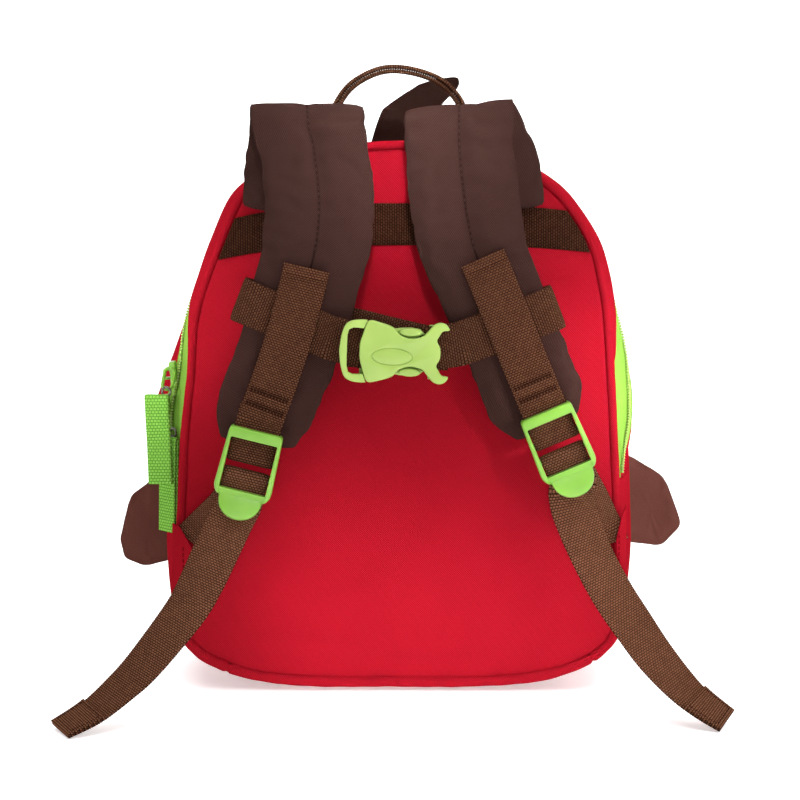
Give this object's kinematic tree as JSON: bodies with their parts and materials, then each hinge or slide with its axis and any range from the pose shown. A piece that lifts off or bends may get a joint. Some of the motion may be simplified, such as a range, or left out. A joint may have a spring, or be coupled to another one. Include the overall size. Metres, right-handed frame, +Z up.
{
  "type": "mini backpack",
  "caption": "Small child's backpack with a zipped hollow body, padded shoulder straps, a buckled chest strap, adjusters with loose webbing tails and a grab handle.",
  "frame": {"origin": "middle of the flat base, on the surface that the bag stands on", "axes": "+Z up, -Y towards the wearer's side with the straps, +X to the right when the strap side is seen"},
  "size_m": [0.3496, 0.2042, 0.3361],
  "materials": {
    "red_twill": "fine woven twill",
    "brown_padding": "fine twill over foam",
    "brown_webbing": "coarse flat webbing",
    "lime_plastic": "moulded, satin gloss",
    "lime_cloth": "woven tape",
    "ring_metal": "plated wire"
  },
  "bodies": {
    "root": {"back_panel": "red_twill", "back_piping": "red_twill", "gusset_lower": "red_twill", "gusset_upper_back": "red_twill", "gusset_upper_front": "red_twill", "front_piping": "red_twill", "front_panel": "red_twill", "corner_tab_left": "red_twill", "corner_tab_right": "red_twill", "shoulder_strap_left": "brown_padding", "shoulder_strap_right": "brown_padding", "top_tuft": "brown_padding", "side_flap_left": "brown_padding", "side_flap_right": "brown_padding", "yoke_webbing": "brown_webbing", "strap_webbing_left": "brown_webbing", "strap_webbing_right": "brown_webbing", "lower_webbing_left": "brown_webbing", "lower_webbing_right": "brown_webbing", "chest_strap_left": "brown_webbing", "chest_strap_right": "brown_webbing", "grab_handle": "brown_webbing", "zip_coil": "lime_plastic", "zip_slider_upper": "lime_plastic", "zip_slider_lower": "lime_plastic", "ladder_lock_left": "lime_plastic", "ladder_lock_right": "lime_plastic", "buckle_socket": "lime_plastic", "buckle_prongs": "lime_plastic", "zip_tape": "lime_cloth", "zip_pull_upper": "lime_cloth", "zip_pull_lower": "lime_cloth", "zip_ring_upper": "ring_metal", "zip_ring_lower": "ring_metal"}
  },
  "joints": []
}
